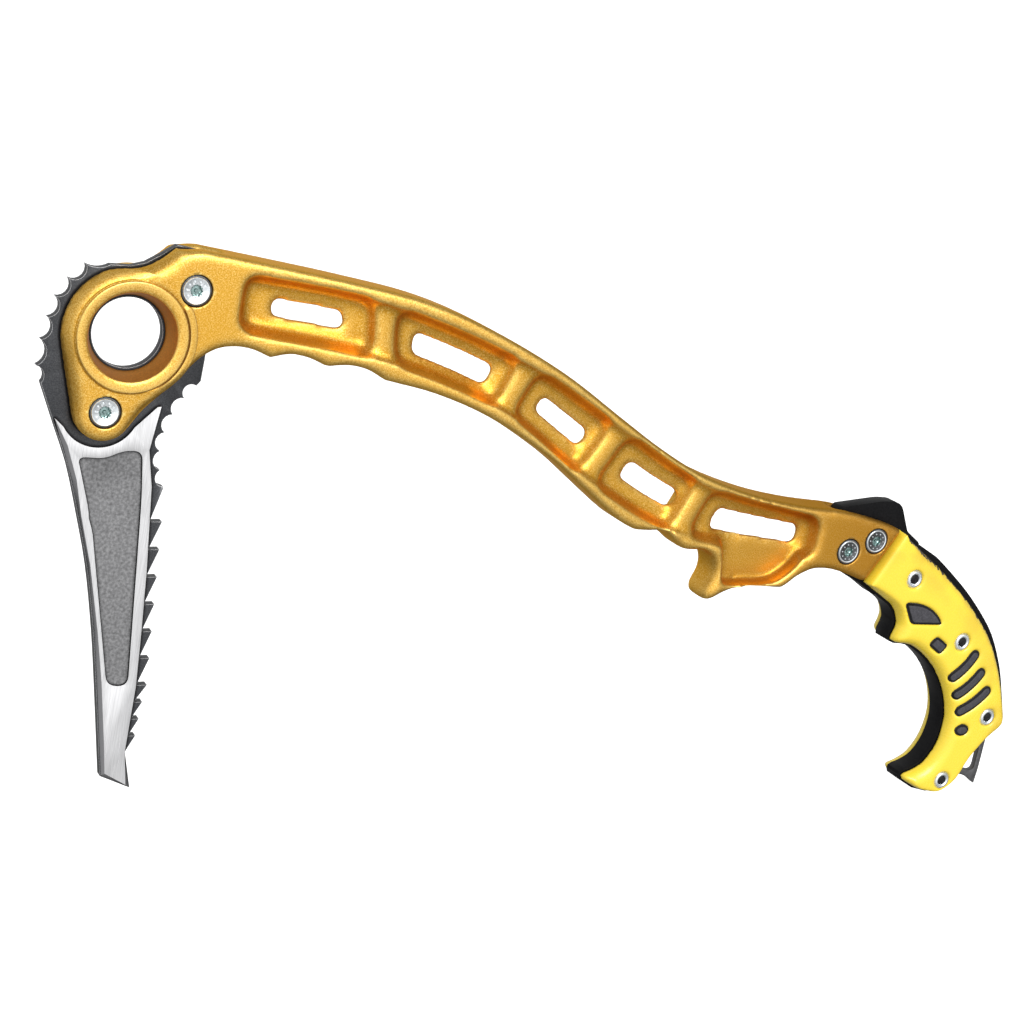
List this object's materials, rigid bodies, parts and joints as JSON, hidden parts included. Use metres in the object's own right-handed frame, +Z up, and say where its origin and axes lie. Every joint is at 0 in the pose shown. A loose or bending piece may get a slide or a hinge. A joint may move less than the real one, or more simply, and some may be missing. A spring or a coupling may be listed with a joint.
{
  "type": "ice climbing tool",
  "caption": "Curved ice climbing tool: forged beam shaft with windows, toothed steel pick bolted in the head, and an angled hooked grip that pivots on the shaft's fork.",
  "frame": {"origin": "centre of the eye through the head, mid-way through the thickness", "axes": "+X from the head towards the handle, +Z up with the shaft's back on top and the pick hanging down, +Y across the thickness, away from the pictured side"},
  "size_m": [0.5162, 0.025, 0.2323],
  "materials": {
    "gold_alloy": "gold anodised over a fine blasted grain",
    "pick_steel": "forged steel, brushed on the raised blade, dark elsewhere",
    "zinc_steel": "bright zinc plated",
    "black_core": "satin black moulded plastic",
    "yellow_grip": "glossy moulded plastic",
    "dark_inlay": "dark grey soft inlay",
    "spike_steel": "dark satin steel"
  },
  "bodies": {
    "tool": {"shaft": "gold_alloy", "pick": "pick_steel", "upper_pick_bolt": "zinc_steel", "lower_pick_bolt": "zinc_steel", "upper_pick_nut": "zinc_steel", "lower_pick_nut": "zinc_steel", "pivot_bolt": "zinc_steel", "pivot_nut": "zinc_steel", "pivot_bush": "zinc_steel", "clamp_bolt": "zinc_steel", "clamp_nut": "zinc_steel"},
    "handle": {"handle_core": "black_core", "near_grip_shell": "yellow_grip", "far_grip_shell": "yellow_grip", "near_inlays": "dark_inlay", "far_inlays": "dark_inlay", "grip_screw_1": "zinc_steel", "grip_screw_2": "zinc_steel", "grip_screw_3": "zinc_steel", "grip_screw_4": "zinc_steel", "grip_nut_1": "zinc_steel", "grip_nut_2": "zinc_steel", "grip_nut_3": "zinc_steel", "grip_nut_4": "zinc_steel", "spike": "spike_steel"}
  },
  "joints": [
    {"name": "handle_set", "type": "hinge", "parent": "tool", "child": "handle", "pos_m": [0.358, 0, -0.069], "axis": [0, 1, 0], "range_deg": [0, 7]}
  ]
}
